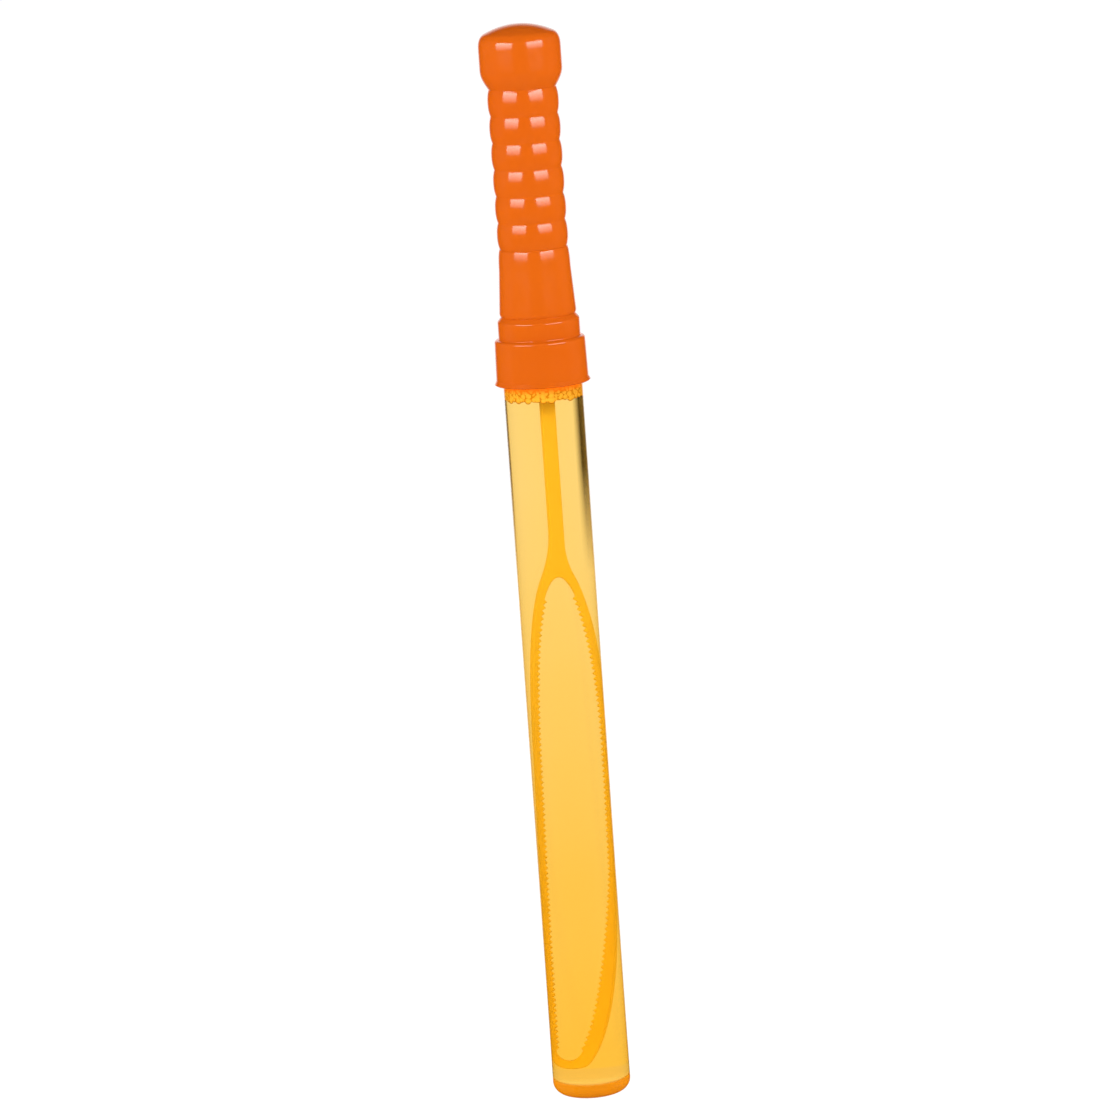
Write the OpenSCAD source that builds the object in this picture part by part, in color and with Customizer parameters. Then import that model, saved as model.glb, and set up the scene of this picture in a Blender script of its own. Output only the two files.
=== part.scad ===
/* [Tube] */
// Outside diameter of the clear tube
tube_d = 27.5; // [24:0.5:34]
// Wall of the tube and of its neck
tube_wall = 1; // [0.8:0.1:1.5]
// Height of the tube up to its neck
tube_h = 255.2; // [200:0.2:320]
// Thickness of the tube's solid floor
floor_t = 4.8; // [3:0.1:8]
// Rounding of the outer bottom edge
foot_r = 4.2; // [2:0.1:5]
// Rounding of the inner bottom edge
inner_foot_r = 2.4; // [1:0.1:4]

/* [Neck] */
// Height of the neck above the tube's body
neck_h = 13.1; // [12:0.1:18]
// How far the neck is set in from the body
neck_step = 0.55; // [0.3:0.05:1]
// Height of the slope between body and neck
neck_slope_h = 1.2; // [0.6:0.1:2]
// Rounding of the mouth's lip
lip_r = 0.4; // [0.2:0.05:0.45]
// Lugs round the neck, with as many inside the cap
lug_count = 3; // [2:1:4]
// How far a neck lug stands out from the neck
lug_reach = 0.9; // [0.7:0.05:1.4]
// Height of a lug
lug_h = 2; // [1.5:0.1:2.4]
// Depth of the neck lugs below the mouth
lug_drop = 4.8; // [3.5:0.1:5.5]

/* [Cap] */
// Wall of the skirt at its top
skirt_wall = 1.25; // [1:0.05:2]
// How much wider the skirt is at its rim, on the radius
skirt_draft = 0.3; // [0:0.05:0.6]
// Height over which the skirt flares out to its rim
flare_h = 1.6; // [1:0.1:3]
// How far the rim stands out from the skirt
flare_reach = 0.6; // [0.2:0.05:1]
// Rounding of the rim's outer edge
rim_edge_r = 0.3; // [0.2:0.05:0.6]
// Thickness of the plate over the mouth
plate_t = 1.5; // [1:0.1:2.5]
// Width of the shoulder between skirt and collar
shoulder_w = 1.5; // [1:0.1:2.5]
// Height of the collar above the plate
collar_h = 7.9; // [6:0.1:12]
// Wall of the collar
collar_wall = 1.95; // [1.6:0.05:2.5]
// Width of the flat top that the grip stands on
collar_land = 0.6; // [0.4:0.05:1]
// Height of the collar's sloping top edge
collar_slope_h = 1.6; // [1:0.1:2.5]

/* [Seal] */
// Thickness of the washer between lip and plate
seal_t = 1.2; // [0.8:0.1:2]

/* [Grip] */
// Height of the smooth barrel above the collar
barrel_h = 23.5; // [16:0.1:36]
// How far the barrel's foot stands out over its seat
barrel_swell = 0.45; // [0.2:0.05:1]
// How much the barrel narrows upwards, on the radius
barrel_taper = 0.9; // [0.2:0.1:1.5]
// Number of finger rings
ring_count = 6; // [3:1:9]
// Height of one finger ring
ring_pitch = 9.2; // [7:0.1:12]
// Depth of the groove between two rings
groove_t = 0.65; // [0.4:0.05:1.2]
// Height of the knob
knob_h = 22.1; // [16:0.1:30]
// How far the knob stands out from the rings
knob_reach = 1.95; // [1:0.05:3]
// Height of the knob's domed top
dome_h = 4.1; // [2:0.1:5]
// Height over which the knob's edge is rounded
knob_round_h = 4; // [1.5:0.1:5]
// Wall of the hollow grip
grip_wall = 1.6; // [1.2:0.1:2.4]

/* [Wand] */
// Thickness of the flange that the grip holds down
flange_t = 1.8; // [1.2:0.1:2.5]
// Diameter of the boss through the plate
boss_d = 12; // [8:0.5:14]
// Width of the stem
stem_w = 3.8; // [3:0.1:6]
// How far the stem stands to the right of the axis
stem_aside = 0.75; // [0:0.05:1.5]
// Length of the stem between boss and loop
stem_h = 74; // [50:1:90]
// Depth of the stem and the loop, front to back
loop_t = 2.4; // [1.8:0.1:4]
// How far the middle of the loop lies to the right of the axis
loop_aside = 0.3; // [0:0.05:0.8]
// Width of the loop's two sides
band_w = 1.8; // [1.5:0.1:4]
// Thickness of the loop at its crown
crown_t = 5.8; // [3:0.1:8]
// Thickness of the loop at its tip
tip_t = 2.8; // [2:0.1:4]
// Length of the small teeth along the inside
tooth_l = 0.9; // [0.4:0.1:1.2]
// Distance from one tooth to the next
tooth_pitch = 1.95; // [1.5:0.05:3]

/* [Clearances] */
// Gap between pieces that are fitted together
fit_gap = 0.15; // [0.1:0.05:0.3]
// Gap between the turning lugs, up and down and outwards
lug_gap = 0.4; // [0.3:0.05:0.6]
// Gap between the loop and the neck's bore
loop_gap = 0.95; // [0.6:0.05:1.5]
// Gap between the loop's tip and the tube's floor
tip_gap = 4.2; // [1.5:0.1:6]

/* [Hidden] */
round_fn = 96;
arc_steps = 8;
curve_steps = 20;
// Overlap that fuses two shapes of one piece
fuse = 0.3;
// Angle left free on each side of a lug, and at its stop
lug_play = 5;
stop_span = 5;
stop_play = 1;

// Tube and neck
tube_r = tube_d / 2;
bore_r = tube_r - tube_wall;
neck_r = tube_r - neck_step;
neck_bore_r = neck_r - tube_wall;
mouth_z = tube_h + neck_h;
lug_turn = 180 / lug_count;
lug_span = lug_turn - 2 * lug_play;
neck_lug_z = mouth_z - lug_drop - lug_h;
cap_lug_z = neck_lug_z - lug_gap - lug_h;

// Cap
rim_z = tube_h + fit_gap * 2;
skirt_bore_r = neck_r + lug_reach + lug_gap;
skirt_top_r = skirt_bore_r + skirt_wall;
skirt_foot_r = skirt_top_r + skirt_draft;
flare_r = skirt_foot_r + flare_reach;
plate_z = mouth_z + seal_t + 2 * fit_gap;
plate_top_z = plate_z + plate_t;
collar_r = skirt_top_r - shoulder_w;
collar_bore_r = collar_r - collar_wall;
seat_r = collar_bore_r + collar_land;
seat_z = plate_top_z + collar_h;
shoulder_fillet_share = 1 / 3;
collar_edge_share = 0.25;
boss_r = boss_d / 2;

// Grip
spigot_r = collar_bore_r - fit_gap;
spigot_z = plate_top_z + flange_t;
barrel_foot_r = seat_r + barrel_swell;
barrel_top_r = barrel_foot_r - barrel_taper;
barrel_foot_share = 0.06;
barrel_round_share = 0.3;
groove_r = barrel_top_r - groove_t - fit_gap;
ring_r = groove_r + groove_t;
ring_bulge_power = 2.4;
ring_top_z = seat_z + barrel_h + ring_count * ring_pitch;
grip_top_z = ring_top_z + knob_h;
knob_r = ring_r + knob_reach;
knob_flare_share = 0.3;
knob_edge_share = 0.84;
hollow_r = groove_r - grip_wall;
knob_hollow_r = knob_r - grip_wall;

// Wand
boss_z = mouth_z - seal_t - 2 * fit_gap;
boss_cone_h = boss_r - stem_w / 2;
loop_top_z = boss_z - stem_h;
loop_z = floor_t + tip_gap;
loop_h = loop_top_z - loop_z;
loop_half_w = sqrt(pow(neck_bore_r - loop_gap, 2) - pow(loop_t / 2, 2)) - loop_aside;
hole_half_w = loop_half_w - band_w;
hole_z = loop_z + tip_t;
arch_share = 0.374;
taper_share = 0.404;
sweep_drop_share = 0.012;
tip_share = -0.532;
heel_share = 0.022;
hole_taper_power = 1.2;
crown_blend_angle = 66;
toe_angle = -71.5;
teeth_clear_share = 0.035;
arch_h = arch_share * loop_h;
arch_z = loop_top_z - arch_h;
hole_arch_h = arch_h - crown_t;
taper_h = taper_share * loop_h;
taper_z = loop_z - sweep_drop_share * loop_h + taper_h;
hole_taper_h = taper_z - hole_z;
tip_x = tip_share * loop_half_w;
sweep_w = loop_half_w - tip_x;
heel_h = heel_share * loop_h;
teeth_z = hole_z + heel_h;
teeth_count = floor((arch_z + hole_arch_h - teeth_clear_share * loop_h - teeth_z) / tooth_pitch);
teeth_top_z = teeth_z + teeth_count * tooth_pitch;

// Points of an elliptical arc from angle a0 to a1
function arc(x, z, rx, rz, a0, a1, steps = arc_steps) =
    [for (i = [0 : steps]) let (a = a0 + (a1 - a0) * i / steps) [x + rx * cos(a), z + rz * sin(a)]];

// Points of a curve from p to q that leaves and arrives in line with corner c
function blend(p, c, q, steps = arc_steps) =
    [for (i = [0 : steps]) let (t = i / steps) (1 - t) * (1 - t) * p + 2 * t * (1 - t) * c + t * t * q];

module turned(points) {
    rotate_extrude($fn = round_fn) polygon(points);
}

// Evenly spaced ring segments, each centred on its own angle
module lugs(inner_r, outer_r, z, h, middle, span) {
    for (i = [0 : lug_count - 1])
        rotate([0, 0, middle + i * 360 / lug_count - span / 2])
            rotate_extrude(angle = span, $fn = round_fn)
                translate([inner_r, z]) square([outer_r - inner_r, h]);
}

module tube() {
    color("orange", 0.5) union() {
        turned(concat(
            [[0, 0]],
            arc(tube_r - foot_r, foot_r, foot_r, foot_r, -90, 0),
            [[tube_r, tube_h - neck_slope_h], [neck_r, tube_h]],
            arc(neck_r - lip_r, mouth_z - lip_r, lip_r, lip_r, 0, 90),
            arc(neck_bore_r + lip_r, mouth_z - lip_r, lip_r, lip_r, 90, 180),
            [[neck_bore_r, tube_h], [bore_r, tube_h - neck_slope_h]],
            arc(bore_r - inner_foot_r, floor_t + inner_foot_r, inner_foot_r, inner_foot_r, 0, -90),
            [[0, floor_t]]));
        lugs(neck_r - fuse, neck_r + lug_reach, neck_lug_z, lug_h, 0, lug_span);
        lugs(neck_r - fuse, neck_r + lug_reach, cap_lug_z, neck_lug_z - cap_lug_z + fuse,
            lug_span / 2 + stop_play + stop_span / 2, stop_span);
    }
}

module screw_cap() {
    edge_r = shoulder_w * (1 - shoulder_fillet_share);
    fillet_r = shoulder_w * shoulder_fillet_share;
    slope_foot = [collar_r, seat_z - collar_slope_h];
    slope_top = [seat_r, seat_z];
    color("orangered") union() {
        turned(concat(
            [[skirt_bore_r, rim_z]],
            arc(flare_r - rim_edge_r, rim_z + rim_edge_r, rim_edge_r, rim_edge_r, -90, 0),
            [[skirt_foot_r, rim_z + flare_h]],
            arc(skirt_top_r - edge_r, plate_top_z - edge_r, edge_r, edge_r, 0, 90),
            arc(collar_r + fillet_r, plate_top_z + fillet_r, fillet_r, fillet_r, -90, -180),
            blend(slope_foot - [0, collar_edge_share * collar_slope_h], slope_foot,
                slope_foot + collar_edge_share * (slope_top - slope_foot)),
            [slope_top, [collar_bore_r, seat_z], [collar_bore_r, plate_top_z],
             [boss_r + fit_gap, plate_top_z], [boss_r + fit_gap, plate_z], [skirt_bore_r, plate_z]]));
        lugs(neck_r + lug_gap, skirt_bore_r + fuse, cap_lug_z, lug_h, -lug_turn, lug_span);
    }
}

module seal_ring() {
    color("whitesmoke") translate([0, 0, mouth_z + fit_gap]) difference() {
        cylinder(r = neck_r, h = seal_t, $fn = round_fn);
        translate([0, 0, -fuse])
            cylinder(r = boss_r + fit_gap, h = seal_t + 2 * fuse, $fn = round_fn);
    }
}

// Outline of one finger ring, bulging between the grooves at its ends
function ring_points(z) =
    [for (i = [0 : 2 * arc_steps - 1]) let (s = i / arc_steps - 1)
        [groove_r + groove_t * (1 - pow(abs(s), ring_bulge_power)), z + ring_pitch * (1 + s) / 2]];

// Height of the knob's dome at a radius, and its points out to a radius
function dome_z(r) = grip_top_z - dome_h * pow(r / knob_r, 2);
function dome_points(edge_r, t) =
    [for (i = [arc_steps : -1 : 0]) let (r = edge_r * i / arc_steps) [r, dome_z(r) - t]];

module grip() {
    round_h = barrel_h * barrel_round_share;
    flare_h = knob_h * knob_flare_share;
    flare_z = ring_top_z + flare_h;
    edge_r = knob_r * knob_edge_share;
    corner_z = dome_z(edge_r) - 2 * dome_h * knob_edge_share * (knob_r - edge_r) / knob_r;
    wall_top_z = corner_z - knob_round_h;
    hollow_edge_r = knob_hollow_r * knob_edge_share;
    color("orangered") turned(concat(
        [[hollow_r, spigot_z], [spigot_r, spigot_z], [spigot_r, seat_z], [seat_r, seat_z]],
        blend([seat_r, seat_z], [barrel_foot_r, seat_z + barrel_swell],
            [barrel_foot_r, seat_z + barrel_h * barrel_foot_share]),
        arc(groove_r, seat_z + barrel_h - round_h, barrel_top_r - groove_r, round_h, 0, 80),
        [for (i = [0 : ring_count - 1]) each ring_points(seat_z + barrel_h + i * ring_pitch)],
        [for (i = [0 : arc_steps])
            [groove_r + (knob_r - groove_r) * sin(90 * i / arc_steps), ring_top_z + flare_h * i / arc_steps]],
        blend([knob_r, wall_top_z], [knob_r, corner_z], [edge_r, dome_z(edge_r)]),
        dome_points(edge_r, 0),
        [for (i = [arc_steps : -1 : 0]) dome_points(hollow_edge_r, grip_wall)[i]],
        [[knob_hollow_r, wall_top_z], [knob_hollow_r, flare_z], [hollow_r, ring_top_z]]));
}

// Inner edges of the loop: both follow the arch, and the right one sweeps in to the tip
function hole_arch_x(z) =
    hole_half_w * sqrt(1 - pow(max(0, z - arch_z) / hole_arch_h, 2));
function hole_right_x(z) =
    z > taper_z ? hole_arch_x(z)
    : tip_x + (hole_half_w - tip_x) * sqrt(1 - pow((taper_z - z) / hole_taper_h, hole_taper_power));

// Sideways place of a point on a toothed edge, every other one being a tooth's tip
function tooth_x(i) = i % 2 == 1 ? tooth_l : 0;
function tooth_z(i) = teeth_z + i * tooth_pitch / 2;

function hole_points() =
    let (crown_angle = asin((teeth_top_z - arch_z) / hole_arch_h))
    concat(
        [for (i = [0 : 2 * teeth_count]) [hole_right_x(tooth_z(i)) - tooth_x(i), tooth_z(i)]],
        arc(0, arch_z, hole_half_w, hole_arch_h, crown_angle, 180 - crown_angle, curve_steps),
        [for (i = [2 * teeth_count : -1 : 0]) [tooth_x(i) - hole_arch_x(tooth_z(i)), tooth_z(i)]],
        arc(tip_x, hole_z + heel_h, hole_half_w + tip_x, heel_h, 180, 270),
        [for (i = [1 : arc_steps - 1])
            let (z = hole_z + heel_h * pow(i / arc_steps, 2)) [hole_right_x(z), z]]);

// The loop's outer edge from its widest level up over the shoulder and along the stem's edge
function shoulder_points(edge) =
    let (
        start = [loop_half_w * cos(crown_blend_angle), arch_z + arch_h * sin(crown_blend_angle)],
        slope = arch_h * cos(crown_blend_angle) / (loop_half_w * sin(crown_blend_angle)),
        corner = [edge, start.y + (start.x - edge) * slope],
        end = [edge, 2 * corner.y - start.y])
    concat(
        arc(0, arch_z, loop_half_w, arch_h, 0, crown_blend_angle, curve_steps),
        blend(start, corner, end),
        [[edge, boss_z + fuse]]);

function wand_points() =
    let (
        toe = [tip_x + sweep_w * cos(toe_angle), taper_z + taper_h * sin(toe_angle)],
        toe_corner = [toe.x + (toe.y - loop_z) * sweep_w * tan(toe_angle) / taper_h, loop_z],
        shift = stem_aside - loop_aside,
        left = shoulder_points(stem_w / 2 - shift))
    concat(
        blend([tip_x, loop_z], toe_corner, toe),
        arc(tip_x, taper_z, sweep_w, taper_h, toe_angle, 0, curve_steps),
        shoulder_points(stem_w / 2 + shift),
        [for (i = [len(left) - 1 : -1 : 0]) [-left[i].x, left[i].y]],
        arc(tip_x, loop_z + heel_h, loop_half_w + tip_x, heel_h, 180, 270));

module wand() {
    color("gold") union() {
        translate([loop_aside, 0, 0]) rotate([90, 0, 0])
            linear_extrude(height = loop_t, center = true) difference() {
                polygon(wand_points());
                polygon(hole_points());
            }
        translate([0, 0, boss_z - boss_cone_h])
            cylinder(r1 = stem_w / 2, r2 = boss_r, h = boss_cone_h, $fn = round_fn);
        translate([0, 0, boss_z])
            cylinder(r = boss_r, h = plate_top_z - boss_z + fuse, $fn = round_fn);
        translate([0, 0, plate_top_z])
            cylinder(r = spigot_r, h = flange_t, $fn = round_fn);
    }
}

tube();
screw_cap();
seal_ring();
grip();
wand();
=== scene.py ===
import math
import random

import bmesh
import bpy
from mathutils import Matrix, Vector


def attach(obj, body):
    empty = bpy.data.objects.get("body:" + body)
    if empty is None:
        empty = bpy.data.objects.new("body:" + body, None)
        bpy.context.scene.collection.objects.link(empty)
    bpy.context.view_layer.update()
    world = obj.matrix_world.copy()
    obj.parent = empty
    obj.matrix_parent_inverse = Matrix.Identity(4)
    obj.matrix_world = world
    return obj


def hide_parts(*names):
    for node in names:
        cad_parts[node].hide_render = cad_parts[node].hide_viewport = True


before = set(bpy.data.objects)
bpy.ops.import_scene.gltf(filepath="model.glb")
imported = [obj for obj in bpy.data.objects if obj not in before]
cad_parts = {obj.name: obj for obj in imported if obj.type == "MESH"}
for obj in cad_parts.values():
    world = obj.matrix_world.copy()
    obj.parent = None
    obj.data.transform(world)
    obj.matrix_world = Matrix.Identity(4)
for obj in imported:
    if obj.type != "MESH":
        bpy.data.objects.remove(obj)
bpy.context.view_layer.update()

MM = 0.001

# The studio
# A white floor and a white room round a toy that stands on its base, with two softboxes at the front,
# left and right, that show as paired square lights on the handle. The camera looks down from the front.
# The studio's sizes are in metres.
CAMERA_DISTANCE = 1.720
CAMERA_HEIGHT = 0.509
CAMERA_DOWN = math.radians(10.43)
CAMERA_ROLL = math.radians(4.0)
CAMERA_ASIDE = math.radians(0.055)
FOCAL_PIXELS = 5004
FRAME_PIXELS = 1120
SENSOR = 36.0


def node_tree(owner):
    """Turns on the nodes of a material, light or world and returns its tree, emptied."""
    owner.use_nodes = True
    owner.node_tree.nodes.clear()
    return owner.node_tree


def add_node(tree, kind, place=(0, 0), **values):
    """Adds a node at a place on a grid, and sets its own settings or, by their names, its inputs."""
    node = tree.nodes.new(kind)
    node.location = (place[0] * 200, place[1] * 200)
    for name, value in values.items():
        if hasattr(node, name):
            setattr(node, name, value)
        else:
            node.inputs[name.replace("_", " ")].default_value = value
    return node


def seen_directly(tree, place):
    """One where a camera, mirror or glass ray looks, and zero for the light that falls on things."""
    path = add_node(tree, "ShaderNodeLightPath", place)
    glossy = add_node(tree, "ShaderNodeMath", (place[0] + 1, place[1]), operation="MAXIMUM")
    through = add_node(tree, "ShaderNodeMath", (place[0] + 2, place[1]), operation="MAXIMUM")
    tree.links.new(path.outputs["Is Camera Ray"], glossy.inputs[0])
    tree.links.new(path.outputs["Is Glossy Ray"], glossy.inputs[1])
    tree.links.new(glossy.outputs[0], through.inputs[0])
    tree.links.new(path.outputs["Is Transmission Ray"], through.inputs[1])
    return through.outputs[0]


# The white is a little over full strength. A mirrored ray finds it where it goes nearly straight back,
# from this cosine on.
WHITE = 1.06
MIRRORED_FROM = 0.85


def white_behind(tree, vector, place):
    """White, but dark for rays mirrored off an outside, unless they go nearly straight back."""
    way = add_node(tree, "ShaderNodeVectorMath", (place[0] - 1, place[1]), operation="NORMALIZE")
    ahead = add_node(tree, "ShaderNodeVectorMath", place, operation="DOT_PRODUCT")
    ahead.inputs[1].default_value = (0, 1, 0)
    share = add_node(
        tree, "ShaderNodeMapRange", (place[0] + 1, place[1]), interpolation_type="SMOOTHSTEP",
        From_Min=MIRRORED_FROM, To_Max=WHITE
    )
    tree.links.new(vector, way.inputs[0])
    tree.links.new(way.outputs["Vector"], ahead.inputs[0])
    tree.links.new(ahead.outputs["Value"], share.inputs["Value"])
    path = add_node(tree, "ShaderNodeLightPath", (place[0], place[1] - 1))
    outside = add_node(tree, "ShaderNodeMath", (place[0] + 1, place[1] - 1), operation="GREATER_THAN")
    mirrored = add_node(tree, "ShaderNodeMix", (place[0] + 2, place[1]), A=WHITE)
    tree.links.new(path.outputs["Is Reflection Ray"], outside.inputs[0])
    tree.links.new(path.outputs["Transmission Depth"], outside.inputs[1])
    tree.links.new(outside.outputs[0], mirrored.inputs["Factor"])
    tree.links.new(share.outputs["Result"], mirrored.inputs["B"])
    return mirrored.outputs["Result"]


# The room is brighter behind the object than in front of it.
FRONT_LIGHT = 0.3
BACK_LIGHT = 0.8
world = bpy.data.worlds.new("white_room")
bpy.context.scene.world = world
tree = node_tree(world)
shown = add_node(tree, "ShaderNodeBackground", (4, 1), Color=(1, 1, 1, 1))
lit = add_node(tree, "ShaderNodeBackground", (4, 0), Color=(1, 1, 1, 1))
mix = add_node(tree, "ShaderNodeMixShader", (5, 0))
out = add_node(tree, "ShaderNodeOutputWorld", (6, 0))
looking = add_node(tree, "ShaderNodeTexCoord", (-2, 3))
white = white_behind(tree, looking.outputs["Generated"], (0, 3))
apart = add_node(tree, "ShaderNodeSeparateXYZ", (1, -2))
room = add_node(tree, "ShaderNodeMapRange", (2, -2), From_Min=-1.0, To_Min=FRONT_LIGHT, To_Max=BACK_LIGHT)
tree.links.new(looking.outputs["Generated"], apart.inputs[0])
tree.links.new(apart.outputs["Y"], room.inputs["Value"])
tree.links.new(room.outputs["Result"], lit.inputs["Strength"])
tree.links.new(white, shown.inputs["Strength"])
tree.links.new(seen_directly(tree, (0, 0)), mix.inputs[0])
tree.links.new(lit.outputs[0], mix.inputs[1])
tree.links.new(shown.outputs[0], mix.inputs[2])
tree.links.new(mix.outputs[0], out.inputs[0])

# The camera sees the floor's shadow only faintly, because the floor glows white for it.
FLOOR_RADIUS = 14.0
FLOOR_STEPS = 96
FLOOR_COLOR = (0.85, 0.85, 0.85, 1)
FLOOR_SHADOW_SHARE = 0.08
bm = bmesh.new()
bmesh.ops.create_circle(bm, cap_ends=True, radius=FLOOR_RADIUS, segments=FLOOR_STEPS)
mesh = bpy.data.meshes.new("floor")
bm.to_mesh(mesh)
bm.free()
floor = bpy.data.objects.new("floor", mesh)
bpy.context.collection.objects.link(floor)
white_floor = bpy.data.materials.new("white_floor")
tree = node_tree(white_floor)
matt = add_node(tree, "ShaderNodeBsdfDiffuse", (3, 0), Color=FLOOR_COLOR)
glow = add_node(tree, "ShaderNodeEmission", (3, 1), Color=(1, 1, 1, 1))
spot = add_node(tree, "ShaderNodeTexCoord", (-2, 5))
white = white_behind(tree, spot.outputs["Object"], (0, 5))
tree.links.new(white, glow.inputs["Strength"])
path = add_node(tree, "ShaderNodeLightPath", (3, 3))
shadow = add_node(tree, "ShaderNodeMath", (4, 3), operation="MULTIPLY")
shadow.inputs[1].default_value = FLOOR_SHADOW_SHARE
share = add_node(tree, "ShaderNodeMath", (4, 2), operation="SUBTRACT")
mix = add_node(tree, "ShaderNodeMixShader", (5, 0))
out = add_node(tree, "ShaderNodeOutputMaterial", (6, 0))
tree.links.new(path.outputs["Is Camera Ray"], shadow.inputs[0])
tree.links.new(seen_directly(tree, (0, 2)), share.inputs[0])
tree.links.new(shadow.outputs[0], share.inputs[1])
tree.links.new(share.outputs[0], mix.inputs[0])
tree.links.new(matt.outputs[0], mix.inputs[1])
tree.links.new(glow.outputs[0], mix.inputs[2])
tree.links.new(mix.outputs[0], out.inputs[0])
mesh.materials.append(white_floor)

# Two dark cards stand behind the object, outside the picture, and draw dark lines along the tube's sides.
# Each has its two ends and the width of its soft inner edge, in degrees from straight behind. It fades
# out towards its foot and its top too.
CARD_DISTANCE = 1.0
CARD_H = 0.16
CARD_FOOT_FADE_H = 0.06
CARD_TOP_FADE_H = 0.04
CARD_SPANS = ((-68, -24, 12), (46, 84, 8))
CARD_COLOR = (0.01, 0.008, 0.005, 1)
CARD_STEPS = 44
CARD_LEVELS = 8
dark_card = bpy.data.materials.new("dark_card")
tree = node_tree(dark_card)
black = add_node(tree, "ShaderNodeBsdfDiffuse", (4, 0), Color=CARD_COLOR)
clear = add_node(tree, "ShaderNodeBsdfTransparent", (4, 1))
soft = add_node(tree, "ShaderNodeAttribute", (3, 2), attribute_name="softness")
mix = add_node(tree, "ShaderNodeMixShader", (5, 0))
out = add_node(tree, "ShaderNodeOutputMaterial", (6, 0))
tree.links.new(soft.outputs["Fac"], mix.inputs[0])
tree.links.new(clear.outputs[0], mix.inputs[1])
tree.links.new(black.outputs[0], mix.inputs[2])
tree.links.new(mix.outputs[0], out.inputs[0])
for start, end, soft_span in CARD_SPANS:
    bm = bmesh.new()
    softness = bm.verts.layers.float.new("softness")
    across = CARD_DISTANCE * math.sin(math.radians(start))
    back = CARD_DISTANCE * math.cos(math.radians(start))
    column = [bm.verts.new((across, back, CARD_H * i / CARD_LEVELS)) for i in range(CARD_LEVELS + 1)]
    edges = [bm.edges.new(pair) for pair in zip(column, column[1:])]
    bmesh.ops.spin(
        bm,
        geom=column + edges,
        cent=(0, 0, 0),
        axis=(0, 0, 1),
        angle=math.radians(start - end),
        steps=CARD_STEPS,
    )
    inner_edge = min(abs(start), abs(end))
    for vert in bm.verts:
        azimuth = abs(math.degrees(math.atan2(vert.co.x, vert.co.y)))
        foot_share = vert.co.z / CARD_FOOT_FADE_H
        top_share = (CARD_H - vert.co.z) / CARD_TOP_FADE_H
        side_share = min(1, max(0, (azimuth - inner_edge) / soft_span))
        vert[softness] = side_share * max(0, min(1, foot_share, top_share))
    mesh = bpy.data.meshes.new("dark_card")
    bm.to_mesh(mesh)
    bm.free()
    mesh.materials.append(dark_card)
    card = bpy.data.objects.new("dark_card", mesh)
    bpy.context.collection.objects.link(card)
    card.visible_camera = False
    card.visible_diffuse = False
    card.visible_shadow = False
    card.visible_glossy = False

camera_data = bpy.data.cameras.new("camera")
camera_data.sensor_width = SENSOR
camera_data.lens = FOCAL_PIXELS / FRAME_PIXELS * SENSOR
camera = bpy.data.objects.new("camera", camera_data)
bpy.context.collection.objects.link(camera)
camera.matrix_world = (
    Matrix.Translation((0, -CAMERA_DISTANCE, CAMERA_HEIGHT))
    @ Matrix.Rotation(-CAMERA_ASIDE, 4, "Z")
    @ Matrix.Rotation(math.pi / 2 - CAMERA_DOWN, 4, "X")
    @ Matrix.Rotation(-CAMERA_ROLL, 4, "Z")
)
bpy.context.scene.camera = camera
bpy.context.scene.view_settings.view_transform = "Standard"

# Two softboxes in front and three broad fill lights beside and behind, all aimed at the handle's
# middle. The fill lights don't show in the shine. A softbox is brightest at its upper edge. Each light
# has its azimuth and rise in degrees, its distance, width and height in metres and its power in watts.
LIGHT_AIM_Z = 0.35
SOFTBOX_LOWER_SHARE = 0.2
SOFTBOX_UPPER_SHARE = 1.5
LIGHTS = (
    ("softbox", -45, 12, 0.9, 0.78, 0.44, 6.4),
    ("softbox", 45, 12, 0.9, 0.78, 0.44, 6.4),
    ("fill", -100, 5, 1.0, 0.8, 0.8, 3.9),
    ("fill", 100, 5, 1.0, 0.8, 0.8, 3.9),
    ("fill", 180, 5, 1.0, 0.8, 0.8, 6.0),
)
for kind, azimuth, rise, distance, width, height, power in LIGHTS:
    light_data = bpy.data.lights.new(kind, "AREA")
    light_data.shape = "RECTANGLE"
    light_data.size = width
    light_data.size_y = height
    light_data.energy = power
    light = bpy.data.objects.new(kind, light_data)
    bpy.context.collection.objects.link(light)
    azimuth, rise = math.radians(azimuth), math.radians(rise)
    away = Vector((math.sin(azimuth) * math.cos(rise), -math.cos(azimuth) * math.cos(rise), math.sin(rise)))
    light.location = Vector((0, 0, LIGHT_AIM_Z)) + distance * away
    light.rotation_euler = away.to_track_quat("Z", "Y").to_euler()
    light.visible_camera = False
    light.visible_transmission = False
    light.visible_glossy = kind == "softbox"
    if kind == "softbox":
        tree = node_tree(light_data)
        spot = add_node(tree, "ShaderNodeNewGeometry", (0, 0))
        apart = add_node(tree, "ShaderNodeSeparateXYZ", (1, 0))
        fade = add_node(
            tree, "ShaderNodeMapRange", (2, 0), To_Min=SOFTBOX_LOWER_SHARE, To_Max=SOFTBOX_UPPER_SHARE
        )
        glow = add_node(tree, "ShaderNodeEmission", (3, 0), Color=(1, 1, 1, 1))
        out = add_node(tree, "ShaderNodeOutputLight", (4, 0))
        tree.links.new(spot.outputs["Parametric"], apart.inputs[0])
        tree.links.new(apart.outputs["Y"], fade.inputs["Value"])
        tree.links.new(fade.outputs["Result"], glow.inputs["Strength"])
        tree.links.new(glow.outputs[0], out.inputs[0])

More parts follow.
